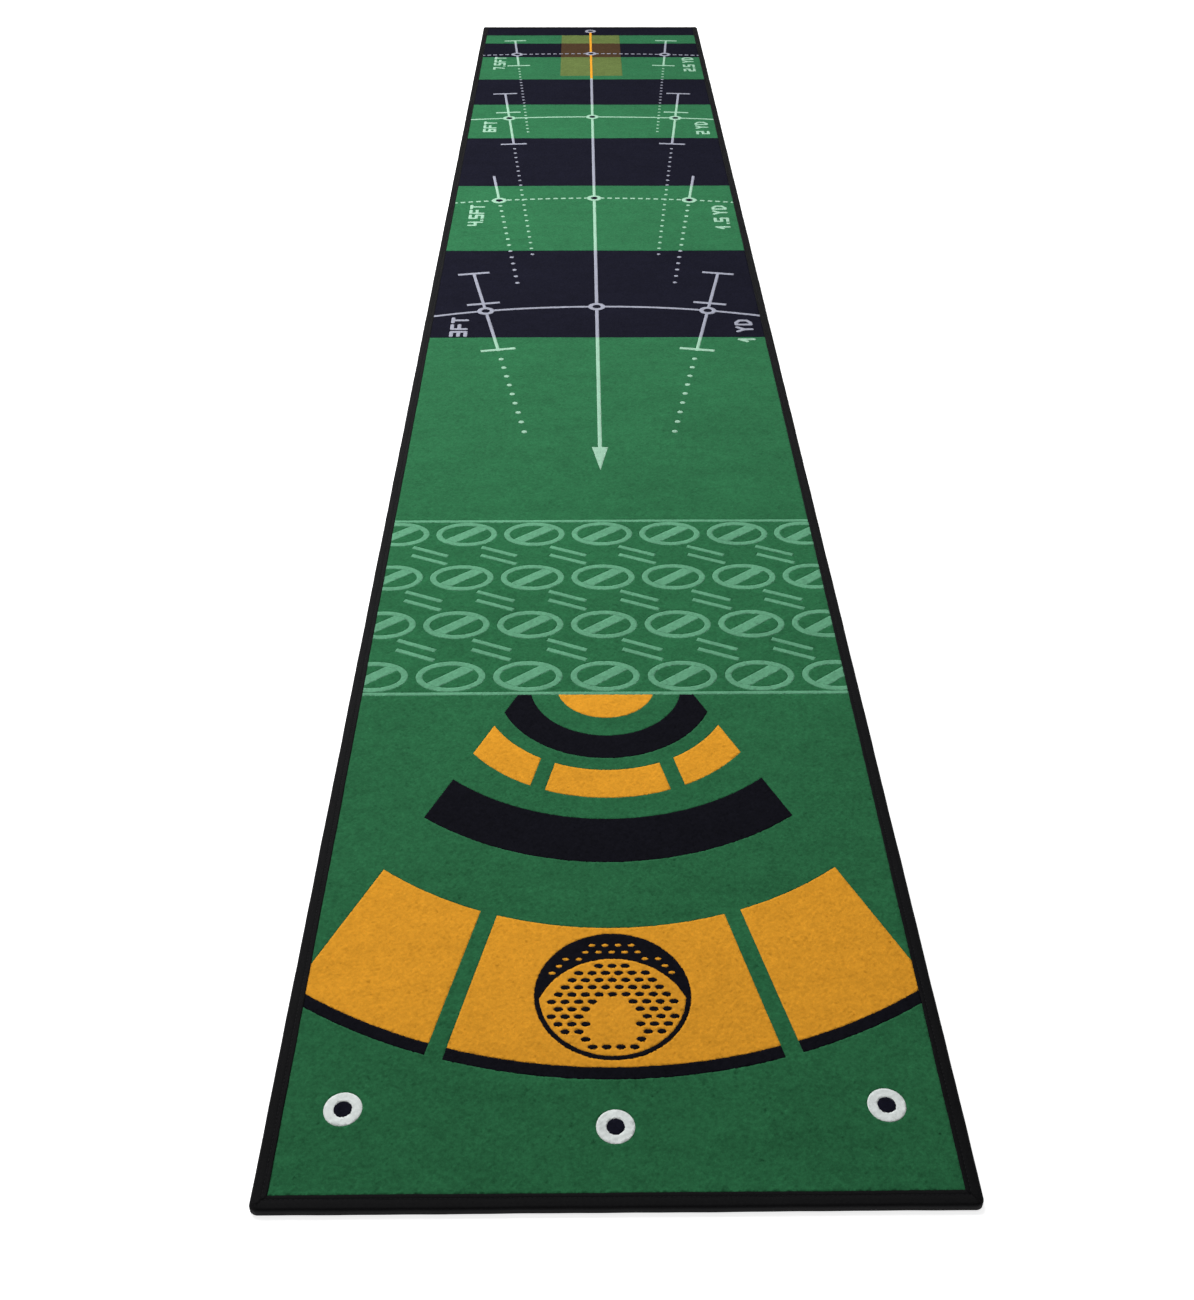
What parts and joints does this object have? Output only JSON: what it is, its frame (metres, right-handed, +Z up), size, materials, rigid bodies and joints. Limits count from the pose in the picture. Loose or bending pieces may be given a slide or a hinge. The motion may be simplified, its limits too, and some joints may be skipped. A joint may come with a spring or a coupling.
{
  "type": "practice putting mat",
  "caption": "Long rolled-out putting mat: printed cut pile with a target fan, an aim line and distance arcs, on a rubber base with a bound edge.",
  "frame": {"origin": "on the floor, under the middle of the mat", "axes": "+Y along the mat, from the target end to the far end; +Z up, from the rubber base to the pile; +X to the right when looking along +Y"},
  "size_m": [0.5, 3, 0.0068],
  "materials": {
    "base_rubber": "matt moulded black rubber with a fine grip pattern",
    "backing_cloth": "plain weave, undyed grey",
    "binding_tape": "black ribbed polyester tape, slight sheen",
    "sewing_thread": "black twisted polyester thread",
    "pile_green": "cut pile, green",
    "pile_navy": "cut pile, blue-black",
    "pile_yellow": "cut pile, golden yellow",
    "pile_black": "cut pile, black",
    "pile_white": "cut pile, white",
    "pile_pale_green": "cut pile, pale green",
    "pile_olive": "cut pile, olive",
    "pile_brown": "cut pile, brown"
  },
  "bodies": {
    "root": {"aim_line_white": "pile_white", "aim_line_yellow": "pile_yellow", "arc_first": "pile_white", "arc_fourth": "pile_white", "arc_second": "pile_white", "arc_third": "pile_white", "ball_emblem": "pile_black", "band_lines": "pile_pale_green", "binding_far": "binding_tape", "binding_left": "binding_tape", "binding_near": "binding_tape", "binding_right": "binding_tape", "cup_half_disc": "pile_yellow", "distance_rings": "pile_white", "gauge_first": "pile_white", "gauge_fourth": "pile_white", "gauge_second": "pile_white", "gauge_third": "pile_white", "halo_brown": "pile_brown", "halo_far_olive": "pile_olive", "halo_near_olive": "pile_olive", "motif_bars": "pile_pale_green", "motif_dashes": "pile_pale_green", "motif_ovals": "pile_pale_green", "numerals_feet": "pile_white", "numerals_yards": "pile_white", "pile_green_approach": "pile_green", "pile_green_eighth": "pile_green", "pile_green_fourth": "pile_green", "pile_green_patterned": "pile_green", "pile_green_second": "pile_green", "pile_green_sixth": "pile_green", "pile_green_target": "pile_green", "pile_navy_end": "pile_navy", "pile_navy_fifth": "pile_navy", "pile_navy_first": "pile_navy", "pile_navy_seventh": "pile_navy", "pile_navy_third": "pile_navy", "ring_centres": "pile_navy", "rubber_base": "base_rubber", "start_rings": "pile_white", "target_inner_black": "pile_black", "target_inner_yellow_left": "pile_yellow", "target_inner_yellow_middle": "pile_yellow", "target_inner_yellow_right": "pile_yellow", "target_outer_black": "pile_black", "target_outer_yellow_left": "pile_yellow", "target_outer_yellow_middle": "pile_yellow", "target_outer_yellow_right": "pile_yellow", "target_rim_black_left": "pile_black", "target_rim_black_middle": "pile_black", "target_rim_black_right": "pile_black", "thread_far": "sewing_thread", "thread_left": "sewing_thread", "thread_near": "sewing_thread", "thread_right": "sewing_thread", "woven_backing": "backing_cloth"}
  },
  "joints": []
}
